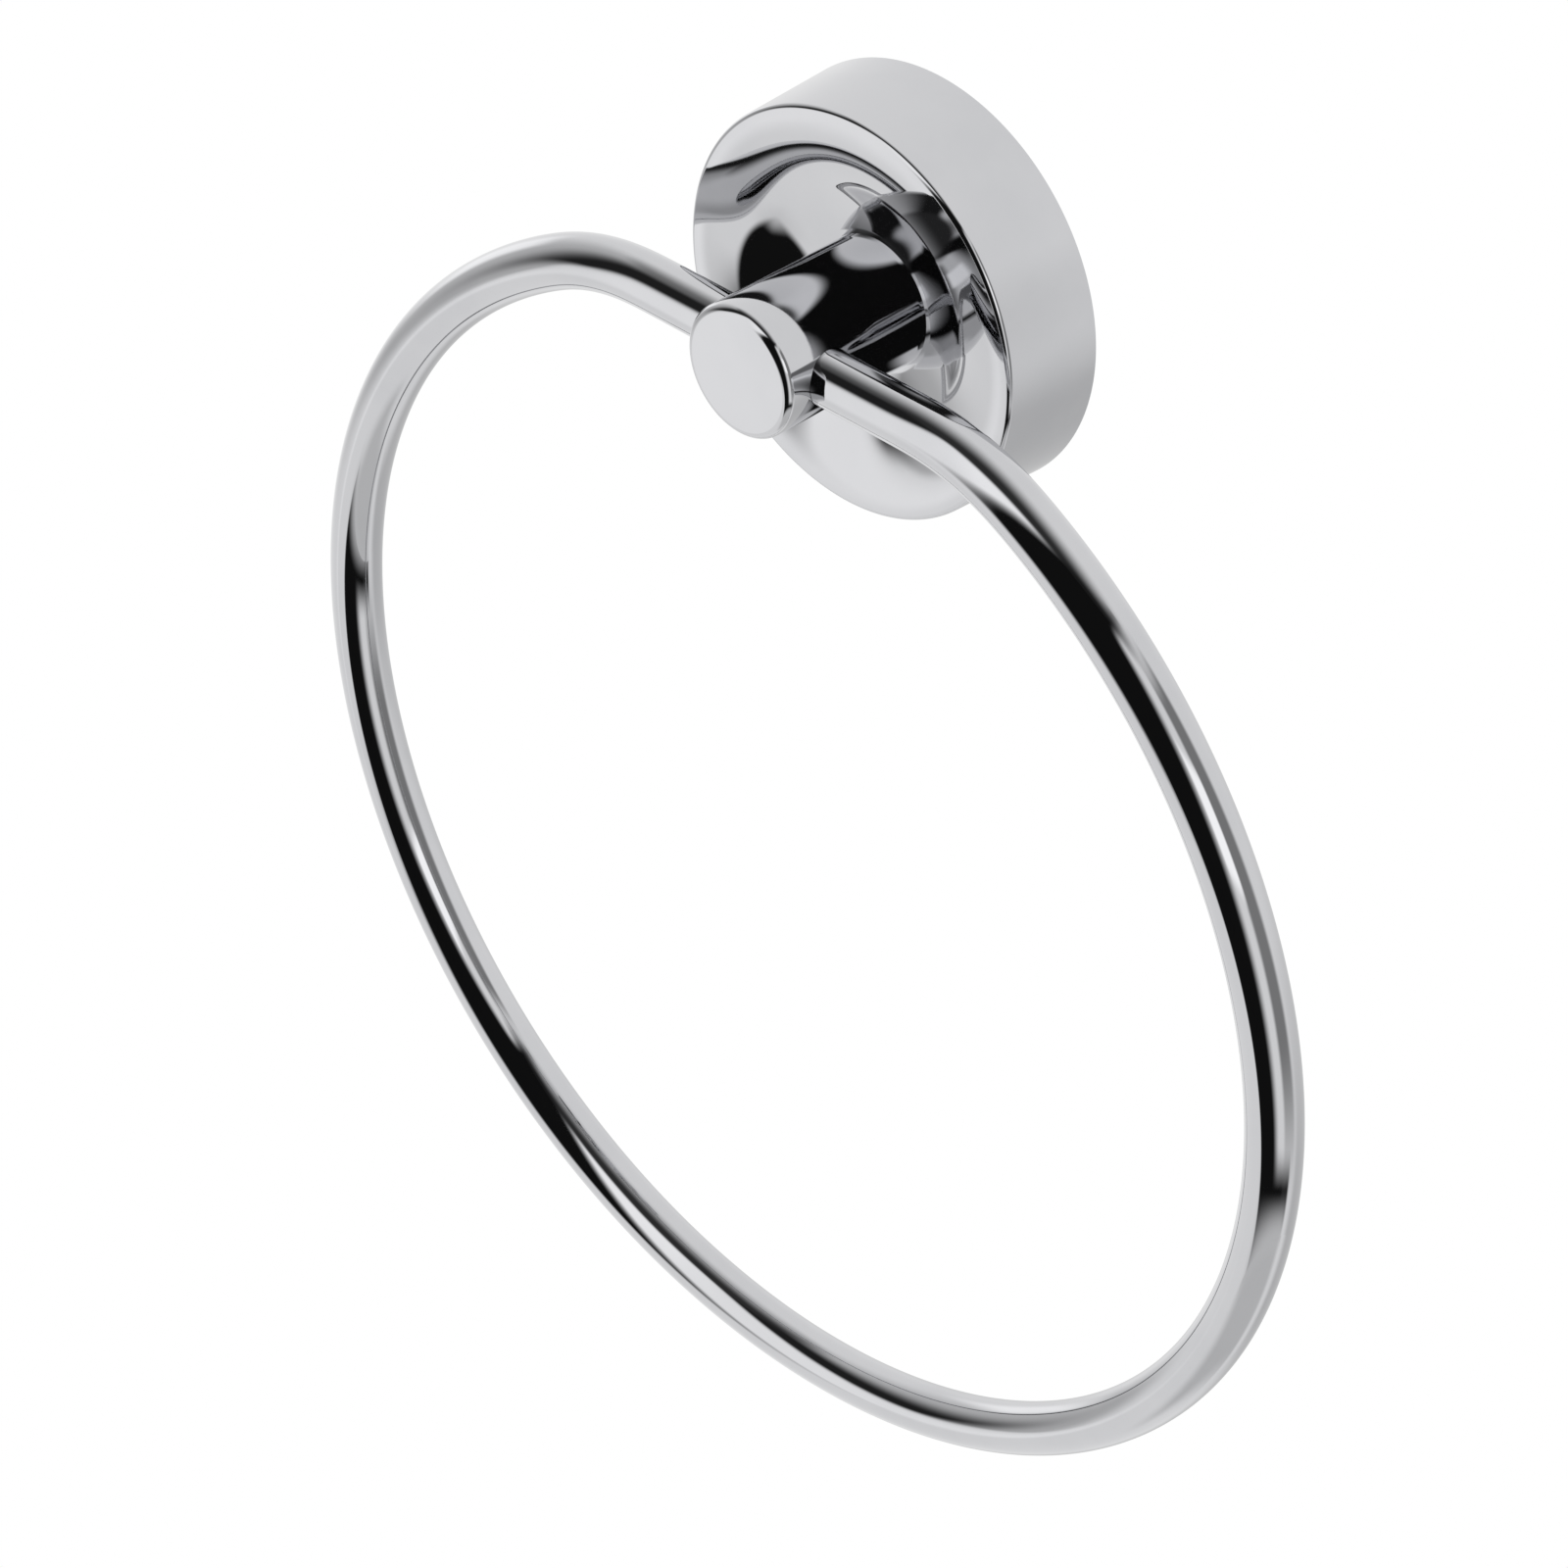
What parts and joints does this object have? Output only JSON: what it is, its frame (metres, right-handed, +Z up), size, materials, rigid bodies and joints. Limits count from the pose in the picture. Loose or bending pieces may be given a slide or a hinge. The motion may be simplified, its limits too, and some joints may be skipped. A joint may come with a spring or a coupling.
{
  "type": "towel ring",
  "caption": "Wall-mounted towel ring: a round rosette with a turned post, and a bent round bar that hangs from the post as a swinging loop.",
  "frame": {"origin": "on the wall plane, on the axis of the post, midway between the two wall screws", "axes": "+Y into the wall along the post's axis, the room towards -Y, +Z up, +X to the right as seen from the room"},
  "size_m": [0.17, 0.032, 0.1881],
  "materials": {
    "polished_chrome": "polished",
    "plain_steel": "zinc plated"
  },
  "bodies": {
    "base": {"rosette": "polished_chrome", "post": "polished_chrome", "wall_plate": "plain_steel", "post_screw": "plain_steel", "post_washer": "plain_steel", "grub_screw": "plain_steel"},
    "ring": {"ring": "polished_chrome"}
  },
  "joints": [
    {"name": "ring_swing", "type": "hinge", "parent": "base", "child": "ring", "pos_m": [0, -0.025, 0], "axis": [-1, 0, 0], "range_deg": [-7, 187]}
  ]
}
